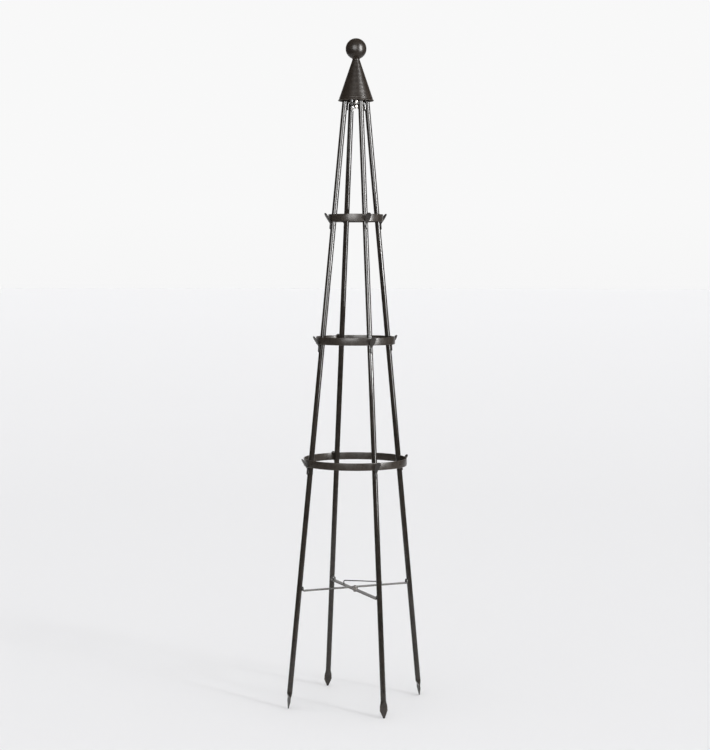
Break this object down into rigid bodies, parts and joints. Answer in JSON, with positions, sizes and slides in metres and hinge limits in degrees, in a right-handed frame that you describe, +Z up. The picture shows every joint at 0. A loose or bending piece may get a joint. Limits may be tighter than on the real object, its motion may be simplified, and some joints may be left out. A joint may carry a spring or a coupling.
{
  "type": "garden obelisk",
  "caption": "Tall folding garden obelisk: four leaning tube legs with spear feet, hooked-on flat rings, a cross brace with a lock rod, and a cone cap with a ball finial.",
  "frame": {"origin": "on the ground, at the centre line between the four feet", "axes": "+Z up along the obelisk, +X towards the right leg, +Y towards the back leg"},
  "size_m": [0.4348, 0.4348, 1.9793],
  "materials": {
    "leg_paint": "dark bronze, semi-gloss",
    "hook_paint": "dark bronze, hammered, semi-gloss",
    "ring_paint": "dark bronze, satin",
    "brace_paint": "dark grey bronze, satin",
    "hardware": "darkened steel, satin",
    "cap_paint": "dark bronze, satin"
  },
  "bodies": {
    "front_back_frame": {"leg_back": "leg_paint", "leg_front": "leg_paint", "hook_back_lower": "hook_paint", "hook_back_middle": "hook_paint", "hook_back_upper": "hook_paint", "hook_front_lower": "hook_paint", "hook_front_middle": "hook_paint", "hook_front_upper": "hook_paint", "brace_bar_lower": "brace_paint", "brace_rivets_lower": "hardware", "brace_bolt": "hardware", "brace_spacer": "hardware", "brace_nut": "hardware", "yoke_lower": "brace_paint", "yoke_rivets_lower": "hardware", "yoke_washer": "hardware", "pivot_stud": "hardware", "stud_nut": "hardware", "yoke_lock_nut": "hardware", "cap_nut": "hardware"},
    "side_frame": {"leg_right": "leg_paint", "leg_left": "leg_paint", "hook_right_lower": "hook_paint", "hook_right_middle": "hook_paint", "hook_right_upper": "hook_paint", "hook_left_lower": "hook_paint", "hook_left_middle": "hook_paint", "hook_left_upper": "hook_paint", "brace_bar_upper": "brace_paint", "brace_rivets_upper": "hardware", "yoke_upper": "brace_paint", "yoke_rivets_upper": "hardware", "lock_lug": "brace_paint"},
    "lock_rod": {"lock_rod": "brace_paint"},
    "lower_ring": {"ring_lower": "ring_paint"},
    "middle_ring": {"ring_middle": "ring_paint"},
    "upper_ring": {"ring_upper": "ring_paint"},
    "cap": {"cap_cone": "cap_paint", "cap_collar": "cap_paint"},
    "finial_ball": {"ball": "cap_paint"}
  },
  "joints": [
    {"name": "fold", "type": "hinge", "parent": "front_back_frame", "child": "side_frame", "pos_m": [0, 0, 0.35], "axis": [0, 0, 1], "range_deg": [0, 58]},
    {"name": "lock_rod_lift", "type": "hinge", "parent": "side_frame", "child": "lock_rod", "pos_m": [0.085, 0, 0.359], "axis": [0.7071, 0.7071, 0], "range_deg": [0, 95]},
    {"name": "lower_ring_lift", "type": "slide", "parent": "front_back_frame", "child": "lower_ring", "axis": [0, 0, 1], "range_m": [0, 1.27]},
    {"name": "middle_ring_lift", "type": "slide", "parent": "front_back_frame", "child": "middle_ring", "axis": [0, 0, 1], "range_m": [0, 0.91]},
    {"name": "upper_ring_lift", "type": "slide", "parent": "front_back_frame", "child": "upper_ring", "axis": [0, 0, 1], "range_m": [0, 0.55]},
    {"name": "cap_lift", "type": "slide", "parent": "front_back_frame", "child": "cap", "axis": [0, 0, 1], "range_m": [0, 0.16]},
    {"name": "ball_turn", "type": "hinge", "parent": "cap", "child": "finial_ball", "pos_m": [0, 0, 1.95], "axis": [0, 0, 1], "continuous": true}
  ],
  "couplings": [
    {"joint": "lock_rod_lift", "follows": "fold", "ratio": 1.6}
  ]
}
